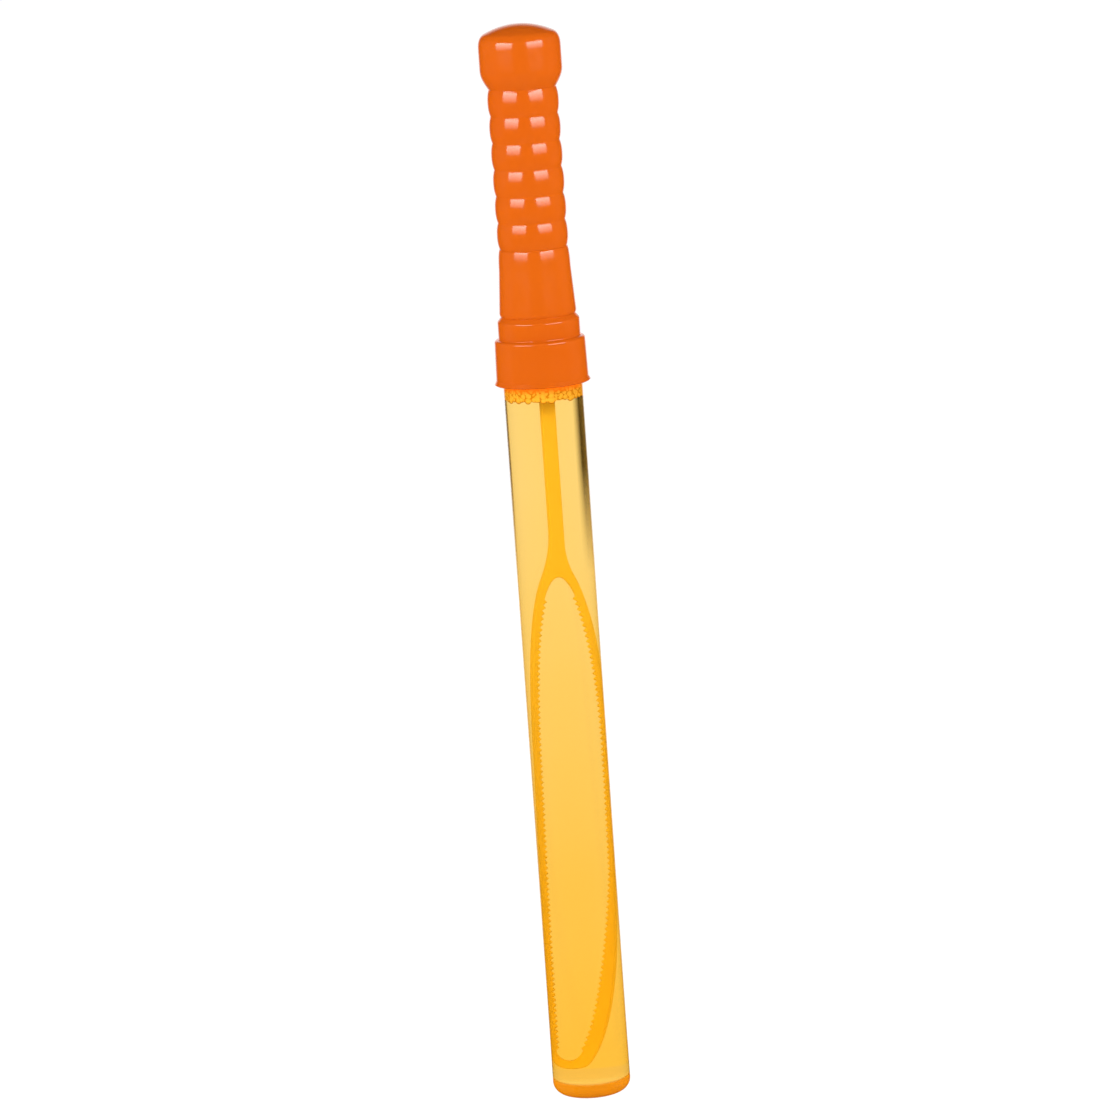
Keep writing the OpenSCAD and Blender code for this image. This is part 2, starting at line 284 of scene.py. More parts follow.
# The tube
# A bottle of clear amber plastic, moulded in one piece: a plain cylinder with a thick solid floor,
# and a slightly narrower neck with three lugs for the cap. All sizes are in millimetres.
TUBE_R = 13.75
TUBE_WALL = 1.0
NECK_R = 13.2
NECK_Z = 255.2
NECK_SLOPE_H = 1.2
MOUTH_Z = 268.3
LIP_R = 0.4
FLOOR_T = 4.8
FOOT_R = 4.2
INNER_FOOT_R = 2.4
LUG_REACH = 0.9
LUG_H = 2.0
LUG_Z = 261.5
LUG_SPAN = 50
LUG_COUNT = 3
STOP_SPAN = 5
STOP_PLAY = 1
CAP_LUG_Z = 259.1
FUSE = 0.3
NEAR = 0.01
FOAM_TOP_Z = 255.5
FROST_FOOT_Z = 5.3
FROST_TOP_Z = 6.6
ROUND_STEPS = 160
MERGE_DISTANCE = 0.001
LUG_STEP = 3
FUSED_SHARP_ANGLE = 20
WALL_WEIGHT = 90


def arc(r, z, rr, rz, start, end, steps=8):
    """Profile points along an elliptical arc, as radius and height."""
    angles = [math.radians(start + (end - start) * i / steps) for i in range(steps + 1)]
    return [(r + rr * math.cos(a), z + rz * math.sin(a)) for a in angles]


def curve(p, corner, q, steps=8):
    """Profile points from p to q along a curve that is drawn towards a corner."""
    points = []
    for i in range(steps + 1):
        t = i / steps
        shares = ((1 - t) ** 2, 2 * t * (1 - t), t * t)
        points.append(tuple(sum(s * v[k] for s, v in zip(shares, (p, corner, q))) for k in (0, 1)))
    return points


def turned(bm, profile, steps=ROUND_STEPS):
    """Spins a profile of radius and height in millimetres round the axis, into bm.

    A profile that starts on the axis also ends on it, and any other is closed to a loop first.
    """
    points = [bm.verts.new((r * MM, 0, z * MM)) for r, z in profile]
    starts_on_axis = profile[0][0] == 0
    following = points[1:] if starts_on_axis else points[1:] + points[:1]
    edges = [bm.edges.new(pair) for pair in zip(points, following)]
    bmesh.ops.spin(
        bm,
        geom=points + edges,
        cent=(0, 0, 0),
        axis=(0, 0, 1),
        angle=math.tau,
        steps=steps,
        use_merge=True,
    )
    bmesh.ops.remove_doubles(bm, verts=bm.verts, dist=MERGE_DISTANCE * MM)


def ring_segment(bm, inner_r, outer_r, z, h, middle, span):
    """Adds a closed piece of a ring, centred on an angle in degrees."""
    start = math.radians(middle - span / 2)
    corners = [(inner_r, z), (outer_r, z), (outer_r, z + h), (inner_r, z + h)]
    verts = [bm.verts.new((r * MM * math.cos(start), r * MM * math.sin(start), c * MM)) for r, c in corners]
    face = bm.faces.new(verts)
    bmesh.ops.spin(
        bm,
        geom=[face] + list(face.edges) + verts,
        cent=(0, 0, 0),
        axis=(0, 0, 1),
        angle=math.radians(span),
        steps=max(2, round(span / LUG_STEP)),
    )


def new_object(name, bm, smooth_angle=35):
    """Makes an object of bm, facing outwards, smooth apart from its corners."""
    bmesh.ops.recalc_face_normals(bm, faces=bm.faces)
    mesh = bpy.data.meshes.new(name)
    bm.to_mesh(mesh)
    bm.free()
    mesh.shade_smooth()
    mesh.set_sharp_from_angle(angle=math.radians(smooth_angle))
    obj = bpy.data.objects.new(name, mesh)
    bpy.context.collection.objects.link(obj)
    return obj


def true_walls(obj):
    """Keeps long walls straight in the light, where they end in a small rounding."""
    modifier = obj.modifiers.new("walls", "WEIGHTED_NORMAL")
    modifier.weight = WALL_WEIGHT
    modifier.keep_sharp = True


def join_solids(obj, others):
    """Fuses other closed meshes into obj and deletes them."""
    for other in others:
        modifier = obj.modifiers.new("fuse", "BOOLEAN")
        modifier.operation = "UNION"
        modifier.solver = "EXACT"
        modifier.object = other
    depsgraph = bpy.context.evaluated_depsgraph_get()
    fused = bpy.data.meshes.new_from_object(obj.evaluated_get(depsgraph))
    obj.modifiers.clear()
    obj.data = fused
    fused.set_sharp_from_angle(angle=math.radians(FUSED_SHARP_ANGLE))
    for other in others:
        bpy.data.objects.remove(other)


bore_r = TUBE_R - TUBE_WALL
neck_bore_r = NECK_R - TUBE_WALL
bm = bmesh.new()
turned(
    bm,
    [(0, 0)]
    + arc(TUBE_R - FOOT_R, FOOT_R, FOOT_R, FOOT_R, -90, 0, 12)
    + [(TUBE_R, FROST_TOP_Z), (TUBE_R, NECK_Z - NECK_SLOPE_H), (NECK_R, NECK_Z)]
    + arc(NECK_R - LIP_R, MOUTH_Z - LIP_R, LIP_R, LIP_R, 0, 90, 5)
    + arc(neck_bore_r + LIP_R, MOUTH_Z - LIP_R, LIP_R, LIP_R, 90, 180, 5)
    + [(neck_bore_r, FOAM_TOP_Z), (neck_bore_r, NECK_Z), (bore_r, NECK_Z - NECK_SLOPE_H)]
    + arc(bore_r - INNER_FOOT_R, FLOOR_T + INNER_FOOT_R, INNER_FOOT_R, INNER_FOOT_R, 0, -90, 12)
    + [(0, FLOOR_T)],
)
tube = new_object("bottle_tube", bm)
bm = bmesh.new()
for i in range(LUG_COUNT):
    turn = i * 360 / LUG_COUNT
    ring_segment(bm, NECK_R - FUSE, NECK_R + LUG_REACH, LUG_Z, LUG_H, turn, LUG_SPAN)
neck_lugs = new_object("neck_lugs", bm)
stop_h = LUG_Z - CAP_LUG_Z + FUSE
bm = bmesh.new()
for i in range(LUG_COUNT):
    turn = i * 360 / LUG_COUNT + LUG_SPAN / 2 + STOP_PLAY + STOP_SPAN / 2
    ring_segment(bm, NECK_R - FUSE, NECK_R + LUG_REACH, CAP_LUG_Z, stop_h, turn, STOP_SPAN)
neck_stops = new_object("neck_stops", bm)
join_solids(tube, [neck_lugs, neck_stops])


WAVE_DEPTH = 0.05


def surface_group():
    """Moulded plastic's skin: faint flow in the colour, fine waviness, and a shine that varies."""
    group = bpy.data.node_groups.new("moulded_skin", "ShaderNodeTree")
    for name, kind in (("Color", "NodeSocketColor"), ("Flow Color", "NodeSocketColor"),
                       ("Roughness", "NodeSocketFloat"), ("Waviness", "NodeSocketFloat")):
        group.interface.new_socket(name, in_out="INPUT", socket_type=kind)
    for name, kind in (("Color", "NodeSocketColor"), ("Roughness", "NodeSocketFloat"),
                       ("Normal", "NodeSocketVector")):
        group.interface.new_socket(name, in_out="OUTPUT", socket_type=kind)
    given = add_node(group, "NodeGroupInput", (0, 0))
    result = add_node(group, "NodeGroupOutput", (6, 0))
    place = add_node(group, "ShaderNodeTexCoord", (0, -2))
    flow = add_node(group, "ShaderNodeTexNoise", (1, 1), Scale=45.0, Detail=3.0, Roughness=0.5)
    smear = add_node(group, "ShaderNodeTexNoise", (1, -1), Scale=260.0, Detail=4.0, Roughness=0.6)
    wave = add_node(group, "ShaderNodeTexNoise", (1, -3), Scale=420.0, Detail=2.0, Roughness=0.4)
    for noise in (flow, smear, wave):
        group.links.new(place.outputs["Object"], noise.inputs["Vector"])
    tint = add_node(group, "ShaderNodeMix", (3, 1), data_type="RGBA")
    group.links.new(flow.outputs["Fac"], tint.inputs["Factor"])
    group.links.new(given.outputs["Color"], tint.inputs["A"])
    group.links.new(given.outputs["Flow Color"], tint.inputs["B"])
    group.links.new(tint.outputs["Result"], result.inputs["Color"])
    spread = add_node(
        group, "ShaderNodeMapRange", (2, -1), From_Min=0.3, From_Max=0.7, To_Min=0.85, To_Max=1.25
    )
    group.links.new(smear.outputs["Fac"], spread.inputs["Value"])
    rough = add_node(group, "ShaderNodeMath", (3, -1), operation="MULTIPLY")
    group.links.new(spread.outputs["Result"], rough.inputs[0])
    group.links.new(given.outputs["Roughness"], rough.inputs[1])
    group.links.new(rough.outputs[0], result.inputs["Roughness"])
    bump = add_node(group, "ShaderNodeBump", (4, -3), Distance=WAVE_DEPTH * MM)
    group.links.new(given.outputs["Waviness"], bump.inputs["Strength"])
    group.links.new(wave.outputs["Fac"], bump.inputs["Height"])
    group.links.new(bump.outputs["Normal"], result.inputs["Normal"])
    return group


MOULDED_SKIN = surface_group()


def moulded(tree, shader, color, flow_color, roughness, waviness):
    """Puts the moulded skin on a shader."""
    skin = add_node(tree, "ShaderNodeGroup", (0, 0), node_tree=MOULDED_SKIN)
    skin.inputs["Color"].default_value = (*color, 1)
    skin.inputs["Flow Color"].default_value = (*flow_color, 1)
    skin.inputs["Roughness"].default_value = roughness
    skin.inputs["Waviness"].default_value = waviness
    tree.links.new(skin.outputs["Color"], shader.inputs["Base Color"])
    tree.links.new(skin.outputs["Roughness"], shader.inputs["Roughness"])
    tree.links.new(skin.outputs["Normal"], shader.inputs["Normal"])


def clear_material(name, ior, shade):
    """Clear stuff that bends the view, and lets the lamps shine straight through, tinted by shade."""
    material = bpy.data.materials.new(name)
    tree = node_tree(material)
    glass = add_node(
        tree, "ShaderNodeBsdfPrincipled", (3, 0), name="glass",
        Base_Color=(1, 1, 1, 1), Roughness=0.0, IOR=ior, Transmission_Weight=1.0
    )
    let_through = add_node(tree, "ShaderNodeBsdfTransparent", (3, -2), Color=(*shade, 1))
    path = add_node(tree, "ShaderNodeLightPath", (3, 2))
    mix = add_node(tree, "ShaderNodeMixShader", (5, 0))
    out = add_node(tree, "ShaderNodeOutputMaterial", (6, 0))
    tree.links.new(path.outputs["Is Shadow Ray"], mix.inputs[0])
    tree.links.new(glass.outputs[0], mix.inputs[1])
    tree.links.new(let_through.outputs[0], mix.inputs[2])
    tree.links.new(mix.outputs[0], out.inputs[0])
    return material


def in_place_of_glass(tree, shader):
    """Lets another shader take the place of a clear material's glass."""
    glass = tree.nodes["glass"]
    mix = glass.outputs[0].links[0].to_node
    tree.links.new(shader, mix.inputs[1])


# The amber is deeper towards the floor, and uneven in soft clouds.
TOP_AMBER = (1.0, 0.835, 0.506)
FOOT_AMBER = (1.0, 0.73, 0.217)
CLOUD_SHARE = 0.25
amber_tint = bpy.data.node_groups.new("amber_tint", "ShaderNodeTree")
amber_tint.interface.new_socket("Color", in_out="OUTPUT", socket_type="NodeSocketColor")
place = add_node(amber_tint, "ShaderNodeTexCoord", (-3, 0))
height = add_node(amber_tint, "ShaderNodeSeparateXYZ", (-2, 0))
cloud = add_node(amber_tint, "ShaderNodeTexNoise", (-2, -2), Scale=18.0, Detail=2.0, Roughness=0.5)
depth = add_node(amber_tint, "ShaderNodeMapRange", (-1, 0), From_Max=NECK_Z * MM)
uneven = add_node(amber_tint, "ShaderNodeMath", (0, -1), operation="MULTIPLY_ADD")
uneven.inputs[1].default_value = CLOUD_SHARE
amber = add_node(
    amber_tint, "ShaderNodeMix", (1, 0), data_type="RGBA", A=(*FOOT_AMBER, 1), B=(*TOP_AMBER, 1)
)
out = add_node(amber_tint, "NodeGroupOutput", (2, 0))
amber_tint.links.new(place.outputs["Object"], height.inputs[0])
amber_tint.links.new(place.outputs["Object"], cloud.inputs["Vector"])
amber_tint.links.new(height.outputs["Z"], depth.inputs["Value"])
amber_tint.links.new(cloud.outputs["Fac"], uneven.inputs[0])
amber_tint.links.new(depth.outputs["Result"], uneven.inputs[2])
amber_tint.links.new(uneven.outputs[0], amber.inputs["Factor"])
amber_tint.links.new(amber.outputs["Result"], out.inputs[0])

# Where solution and foam wet the inside, light passes from plastic to water and hardly any is mirrored.
PLASTIC_IOR = 1.50
WATER_IOR = 1.33
AMBER_SHADE = (0.97, 0.87, 0.6)
true_walls(tube)
tube.data.materials.clear()
for name, ior in (("amber_plastic", PLASTIC_IOR), ("wet_amber_plastic", PLASTIC_IOR / WATER_IOR)):
    material = clear_material(name, ior, AMBER_SHADE)
    tree = material.node_tree
    tint = add_node(tree, "ShaderNodeGroup", (1, 0), node_tree=amber_tint)
    tree.links.new(tint.outputs["Color"], tree.nodes["glass"].inputs["Base Color"])
    tube.data.materials.append(material)

# The rounded foot is satin outside, in a painted deep amber that stands in for light coming through the
# thick floor. It fades into the clear wall just above the floor. Light that has run along in the plastic
# leaves it deep amber, and light that has crossed more surfaces than the wall's outside comes from the
# solution, and stays pale.
PAINTED_FOOT_AMBER = (0.73, 0.25, 0.001)
PAINTED_FOOT_FLOW_AMBER = (0.72, 0.22, 0.001)
FROST_SHADE = (0.97, 0.97, 0.97)
FLOOR_AMBER = (0.90, 0.41, 0.010)
FROSTED_GLASS = (0.95, 0.82, 0.70)
WALL_CROSSINGS = 1.5
WET_SLOT = 1
FROSTED_SLOT = 2
frosted_amber = clear_material("frosted_amber", PLASTIC_IOR, FROST_SHADE)
tree = frosted_amber.node_tree
place = add_node(tree, "ShaderNodeTexCoord", (0, 5))
height = add_node(tree, "ShaderNodeSeparateXYZ", (1, 5))
fade = add_node(
    tree, "ShaderNodeMapRange", (2, 5), interpolation_type="SMOOTHSTEP",
    From_Min=FROST_FOOT_Z * MM, From_Max=FROST_TOP_Z * MM
)
side = add_node(tree, "ShaderNodeNewGeometry", (2, 4))
satin = add_node(tree, "ShaderNodeBsdfPrincipled", (2, 3), IOR=1.2)
# The satin's deep amber is painted light, for light coming through the thick floor.
moulded(tree, satin, PAINTED_FOOT_AMBER, PAINTED_FOOT_FLOW_AMBER, roughness=0.3, waviness=0.2)
path = add_node(tree, "ShaderNodeLightPath", (-1, 1))
through = add_node(tree, "ShaderNodeMath", (0, 1), operation="GREATER_THAN")
through.inputs[1].default_value = WALL_CROSSINGS
leaving = add_node(
    tree, "ShaderNodeMix", (1, 1), data_type="RGBA", A=(*FLOOR_AMBER, 1), B=(*FROSTED_GLASS, 1)
)
within = add_node(tree, "ShaderNodeBsdfTransparent", (2, 1))
tree.links.new(path.outputs["Transmission Depth"], through.inputs[0])
tree.links.new(through.outputs[0], leaving.inputs["Factor"])
tree.links.new(leaving.outputs["Result"], within.inputs["Color"])
tint = add_node(tree, "ShaderNodeGroup", (2, -1), node_tree=amber_tint)
turn = add_node(tree, "ShaderNodeMixShader", (4, 1))
in_place_of_glass(tree, turn.outputs[0])
tree.links.new(tint.outputs["Color"], tree.nodes["glass"].inputs["Base Color"])
tree.links.new(place.outputs["Object"], height.inputs[0])
tree.links.new(height.outputs["Z"], fade.inputs["Value"])
tree.links.new(side.outputs["Backfacing"], turn.inputs[0])
for shader, slot in ((satin, 1), (within, 2)):
    blend = add_node(tree, "ShaderNodeMixShader", (3, slot))
    tree.links.new(fade.outputs["Result"], blend.inputs[0])
    tree.links.new(shader.outputs[0], blend.inputs[1])
    tree.links.new(tree.nodes["glass"].outputs[0], blend.inputs[2])
    tree.links.new(blend.outputs[0], turn.inputs[slot])
tube.data.materials.append(frosted_amber)
for face in tube.data.polygons:
    middle = face.center / MM
    reach = math.hypot(middle.x, middle.y)
    is_wet = reach < bore_r + NEAR and FLOOR_T - NEAR < middle.z < FOAM_TOP_Z
    is_bottom = middle.z < NEAR
    is_foot = middle.z < FROST_TOP_Z and reach > TUBE_R - FOOT_R and face.normal.z <= NEAR
    if is_wet:
        face.material_index = WET_SLOT
    elif is_bottom or is_foot:
        face.material_index = FROSTED_SLOT
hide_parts("tube")
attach(tube, "bottle")

# The bubble solution
# A filling of tinted soapy water that fills the tube to just under the cap's rim. It touches the
# wall all round and the floor, and carries a few millimetres of foam.
LEVEL_Z = 250.8
OVERLAP = 0.05
SOLUTION_TINT = (0.998, 0.9, 0.25, 1)
SOLUTION_DENSITY = 20.0
liquid_r = bore_r + OVERLAP
liquid_foot_r = INNER_FOOT_R + OVERLAP
bm = bmesh.new()
turned(
    bm,
    [(0, FLOOR_T - OVERLAP)]
    + arc(bore_r - INNER_FOOT_R, FLOOR_T + INNER_FOOT_R, liquid_foot_r, liquid_foot_r, -90, 0, 12)
    + [(liquid_r, LEVEL_Z), (0, LEVEL_Z)],
)
solution = new_object("bubble_solution", bm)
soapy_water = clear_material("soapy_water", WATER_IOR, (1.0, 1.0, 1.0))
tree = soapy_water.node_tree
inside = add_node(
    tree, "ShaderNodeVolumeAbsorption", (5, -2), Color=SOLUTION_TINT, Density=SOLUTION_DENSITY
)
tree.links.new(inside.outputs[0], tree.nodes["Material Output"].inputs["Volume"])

# Only the open top bends light: the sides and the bottom lie against the wet plastic.
place = add_node(tree, "ShaderNodeTexCoord", (0, 3))
height = add_node(tree, "ShaderNodeSeparateXYZ", (1, 3))
open_top = add_node(tree, "ShaderNodeMath", (2, 3), operation="GREATER_THAN")
open_top.inputs[1].default_value = (LEVEL_Z - OVERLAP) * MM
touching = add_node(tree, "ShaderNodeBsdfTransparent", (3, 1))
surface = add_node(tree, "ShaderNodeMixShader", (4, 1))
tree.links.new(place.outputs["Object"], height.inputs[0])
tree.links.new(height.outputs["Z"], open_top.inputs[0])
tree.links.new(open_top.outputs[0], surface.inputs[0])
tree.links.new(touching.outputs[0], surface.inputs[1])
in_place_of_glass(tree, surface.outputs[0])
tree.links.new(tree.nodes["glass"].outputs[0], surface.inputs[2])
true_walls(solution)
solution.data.materials.append(soapy_water)
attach(solution, "bottle")

# The foam
# Soap foam that floats on the solution, against the wall, with a hole where the stem goes through:
# cells of pale film with deep amber between them, and a scalloped lower edge of round bubbles.
FOAM_FOOT_Z = 250.6
FOAM_HOLE_R = 4.0
FOAM_DIP = 0.6
FOAM_CELL = 1.7
FOAM_STEPS = 96
PALE_FILM = (0.84, 0.47, 0.050)
DEEP_FILM = (0.56, 0.21, 0.003)
# The orange light that comes through the cap is painted into the foam just under it, in colour and glow.
PAINTED_CAP_LIGHT = (0.85, 0.16, 0.006)
PAINTED_CAP_LIGHT_H = 2.6
PAINTED_CAP_LIGHT_FULL_H = 0.3
# All the foam also glows faintly with painted light, for the light it scatters.
PAINTED_FOAM_GLOW = 0.25
foam_neck_r = neck_bore_r + OVERLAP
bm = bmesh.new()
turned(
    bm,
    [(FOAM_HOLE_R, FOAM_FOOT_Z), (liquid_r, FOAM_FOOT_Z), (liquid_r, NECK_Z - NECK_SLOPE_H)]
    + [(foam_neck_r, NECK_Z), (foam_neck_r, FOAM_TOP_Z), (FOAM_HOLE_R, FOAM_TOP_Z - FOAM_DIP)],
    FOAM_STEPS,
)
froth = new_object("foam_froth", bm)

# Both foam materials go from pale to deep film, and to the cap's painted orange light right under the cap.
foam_tint_and_painted_light = bpy.data.node_groups.new("foam_tint_and_painted_light", "ShaderNodeTree")
foam_tint_and_painted_light.interface.new_socket("Pale Share", in_out="INPUT", socket_type="NodeSocketFloat")
foam_tint_and_painted_light.interface.new_socket("Color", in_out="OUTPUT", socket_type="NodeSocketColor")
foam_tint_and_painted_light.interface.new_socket("Painted Glow Color", in_out="OUTPUT", socket_type="NodeSocketColor")
given = add_node(foam_tint_and_painted_light, "NodeGroupInput", (-2, 1))
place = add_node(foam_tint_and_painted_light, "ShaderNodeTexCoord", (-3, 0))
height = add_node(foam_tint_and_painted_light, "ShaderNodeSeparateXYZ", (-2, 0))
painted_light_share = add_node(
    foam_tint_and_painted_light, "ShaderNodeMapRange", (-1, 0), interpolation_type="SMOOTHSTEP",
    From_Min=(FOAM_TOP_Z - PAINTED_CAP_LIGHT_H) * MM, From_Max=(FOAM_TOP_Z - PAINTED_CAP_LIGHT_FULL_H) * MM
)
film = add_node(
    foam_tint_and_painted_light, "ShaderNodeMix", (-1, 1), data_type="RGBA", A=(*DEEP_FILM, 1), B=(*PALE_FILM, 1)
)
# Painted light: right under the cap the film's colour, and its glow, turn to the cap's orange.
shade = add_node(foam_tint_and_painted_light, "ShaderNodeMix", (0, 1), data_type="RGBA", B=(*PAINTED_CAP_LIGHT, 1))
painted_foam_glow_color = add_node(foam_tint_and_painted_light, "ShaderNodeVectorMath", (0, 0), operation="SCALE", Scale=PAINTED_FOAM_GLOW)
glow = add_node(foam_tint_and_painted_light, "ShaderNodeMix", (1, 0), data_type="RGBA", B=(*PAINTED_CAP_LIGHT, 1))
out = add_node(foam_tint_and_painted_light, "NodeGroupOutput", (2, 0))
foam_tint_and_painted_light.links.new(place.outputs["Object"], height.inputs[0])
foam_tint_and_painted_light.links.new(height.outputs["Z"], painted_light_share.inputs["Value"])
foam_tint_and_painted_light.links.new(given.outputs["Pale Share"], film.inputs["Factor"])
foam_tint_and_painted_light.links.new(painted_light_share.outputs["Result"], shade.inputs["Factor"])
foam_tint_and_painted_light.links.new(film.outputs["Result"], shade.inputs["A"])
foam_tint_and_painted_light.links.new(film.outputs["Result"], painted_foam_glow_color.inputs[0])
foam_tint_and_painted_light.links.new(painted_light_share.outputs["Result"], glow.inputs["Factor"])
foam_tint_and_painted_light.links.new(painted_foam_glow_color.outputs["Vector"], glow.inputs["A"])
foam_tint_and_painted_light.links.new(shade.outputs["Result"], out.inputs["Color"])
foam_tint_and_painted_light.links.new(glow.outputs["Result"], out.inputs["Painted Glow Color"])


def foam_shader(tree, roughness, pale_share):
    """A foam shader whose film is pale where the given share is one, with painted light in its colour and
    glow.
    """
    shader = add_node(
        tree, "ShaderNodeBsdfPrincipled", (3, 0), IOR=1.1, Roughness=roughness, Emission_Strength=1.0
    )
    tint = add_node(tree, "ShaderNodeGroup", (2, 0), node_tree=foam_tint_and_painted_light)
    out = add_node(tree, "ShaderNodeOutputMaterial", (5, 0))
    tree.links.new(pale_share, tint.inputs["Pale Share"])
    tree.links.new(tint.outputs["Color"], shader.inputs["Base Color"])
    tree.links.new(tint.outputs["Painted Glow Color"], shader.inputs["Emission Color"])
    tree.links.new(shader.outputs[0], out.inputs[0])


# A froth cell is pale inside and deep along its edges. The two distances are shares of its width.
CELL_DEEP_SHARE = 0.02
CELL_PALE_SHARE = 0.26
soap_froth = bpy.data.materials.new("soap_froth")
tree = node_tree(soap_froth)
place = add_node(tree, "ShaderNodeTexCoord", (-3, 0))
cells = add_node(
    tree, "ShaderNodeTexVoronoi", (-2, 0), feature="DISTANCE_TO_EDGE", Scale=1 / (FOAM_CELL * MM)
)
films = add_node(
    tree, "ShaderNodeMapRange", (-1, 0), interpolation_type="SMOOTHSTEP",
    From_Min=CELL_DEEP_SHARE, From_Max=CELL_PALE_SHARE
)
tree.links.new(place.outputs["Object"], cells.inputs["Vector"])
tree.links.new(cells.outputs["Distance"], films.inputs["Value"])
foam_shader(tree, roughness=0.6, pale_share=films.outputs["Result"])
froth.data.materials.append(soap_froth)
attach(froth, "bottle")

# Each row of bubbles has its height, the radius of its bubbles and their spacing. One more bubble has
# sunk below them, and has its angle to the right of the front, its height and its radius. Bubbles stray
# a little from their places, differ in size and stand into the wall by a share of their radius.
BUBBLE_ROWS = ((251.2, 1.25, 1.9), (252.3, 1.05, 2.3), (253.6, 0.8, 2.9))
SUNK_BUBBLE = (12, 251.0, 1.5)
BUBBLE_FLATNESS = 0.6
BUBBLE_PRESS_SHARES = (0.1, 0.3)
BUBBLE_SIZE_SHARES = (0.7, 1.15)
BUBBLE_STRAY_SHARES = (-0.3, 0.3)
BUBBLE_STRAY_Z = (-0.3, 0.3)
FOAM_SEED = 7
draw = random.Random(FOAM_SEED)
bm = bmesh.new()


def bubble(angle, z, r):
    """Adds a bubble that the wall presses flat, at an angle to the right of the front."""
    wall_r = liquid_r if z < NECK_Z - NECK_SLOPE_H else foam_neck_r
    reach = wall_r - r * (BUBBLE_FLATNESS - draw.uniform(*BUBBLE_PRESS_SHARES))
    place = Matrix.Rotation(math.radians(angle), 4, "Z") @ Matrix.Translation(Vector((0, -reach, z)) * MM)
    flat = Matrix.Diagonal((1, BUBBLE_FLATNESS, 1, 1))
    bmesh.ops.create_icosphere(bm, subdivisions=3, radius=r * MM, matrix=place @ flat)


for z, r, spacing in BUBBLE_ROWS:
    count = round(math.tau * bore_r / spacing)
    for i in range(count):
        angle = 360 * (i + draw.uniform(*BUBBLE_STRAY_SHARES)) / count
        bubble(angle, z + draw.uniform(*BUBBLE_STRAY_Z), r * draw.uniform(*BUBBLE_SIZE_SHARES))
bubble(*SUNK_BUBBLE)
bubbles = new_object("foam_bubbles", bm, smooth_angle=180)

# A bubble's colour is painted light and shade: pale in its middle, where it faces the eye, and deep towards
# its edge.
CORE_FACING = 0.1
RIM_FACING = 0.5
bubble_film = bpy.data.materials.new("bubble_film")
tree = node_tree(bubble_film)
edge = add_node(tree, "ShaderNodeLayerWeight", (-1, 0), Blend=0.5)
painted_light_core = add_node(
    tree, "ShaderNodeMapRange", (0, 0), interpolation_type="SMOOTHSTEP",
    From_Min=CORE_FACING, From_Max=RIM_FACING, To_Min=1.0, To_Max=0.0
)
tree.links.new(edge.outputs["Facing"], painted_light_core.inputs["Value"])
foam_shader(tree, roughness=0.4, pale_share=painted_light_core.outputs["Result"])
bubbles.data.materials.append(bubble_film)
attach(bubbles, "bottle")

# The wand
# Yellow plastic, moulded in one piece: a flange and boss that the grip clamps on the cap, a stem, and
# the long loop with fine teeth inside, which hold the solution. Its soft loop hangs slightly twisted.
BOSS_R = 6.0
BOSS_Z = 266.8
FLANGE_T = 1.8
FLANGE_R = 12.15
PLATE_TOP_Z = 271.3
STEM_W = 3.8
LOOP_T = 2.4
STEM_ASIDE = 0.75
LOOP_ASIDE = 0.3
LOOP_TOP_Z = 192.8
LOOP_Z = 9.0
LOOP_HALF_W = 10.9
BAND_W = 1.8
CROWN_T = 5.8
TIP_T = 2.8
ARCH_H = 68.8
SWEEP_Z = 6.8
TAPER_H = 74.3
TOE_ANGLE = -71.5
TIP_X = -5.8
HEEL_H = 4.0
HOLE_TAPER_POWER = 1.2
CROWN_BLEND_ANGLE = 66
TOOTH_L = 0.9
TOOTH_PITCH = 1.95
TEETH_CLEAR_H = 6.5
LOOP_EDGE_R = 0.35
RIM_ANGLE = 80
FOOT_STEPS = 8
TWIST = 14
TWIST_MIDDLE_Z = 80
TWIST_H = 75
WAND_STEPS = 96
WAND_YELLOW = (0.84, 0.63, 0.09)
WAND_FLOW_YELLOW = (0.83, 0.59, 0.07)
hole_half_w = LOOP_HALF_W - BAND_W
hole_z = LOOP_Z + TIP_T
arch_z = LOOP_TOP_Z - ARCH_H
hole_arch_h = ARCH_H - CROWN_T
taper_z = SWEEP_Z + TAPER_H
hole_taper_h = taper_z - hole_z
teeth_z = hole_z + HEEL_H
teeth_count = math.floor((arch_z + hole_arch_h - TEETH_CLEAR_H - teeth_z) / TOOTH_PITCH)
teeth_top_z = teeth_z + teeth_count * TOOTH_PITCH


def hole_arch_x(z):
    """Half the hole's width at height z, which narrows in the arch."""
    return hole_half_w * math.sqrt(1 - (max(0, z - arch_z) / hole_arch_h) ** 2)


def hole_right_x(z):
    """The hole's right edge at height z, which also runs in towards the tip at the foot."""
    if z > taper_z:
        return hole_arch_x(z)
    taper_share = (taper_z - z) / hole_taper_h
    return TIP_X + (hole_half_w - TIP_X) * math.sqrt(1 - taper_share**HOLE_TAPER_POWER)


def tooth(i):
    """How far a point of a toothed edge stands in, and its height; every other point is a tip."""
    return (TOOTH_L if i % 2 else 0), teeth_z + i * TOOTH_PITCH / 2


crown_angle = math.degrees(math.asin((teeth_top_z - arch_z) / hole_arch_h))
blend_angle = math.radians(CROWN_BLEND_ANGLE)
crown = (LOOP_HALF_W * math.cos(blend_angle), arch_z + ARCH_H * math.sin(blend_angle))
slope = ARCH_H * math.cos(blend_angle) / (LOOP_HALF_W * math.sin(blend_angle))
stem_top = BOSS_Z - BOSS_R


def upright(x, foot_z, top_z, steps):
    """Points up a straight edge, from above its foot to its top, close enough together to twist."""
    return [(x, foot_z + (top_z - foot_z) * i / steps) for i in range(1, steps + 1)]


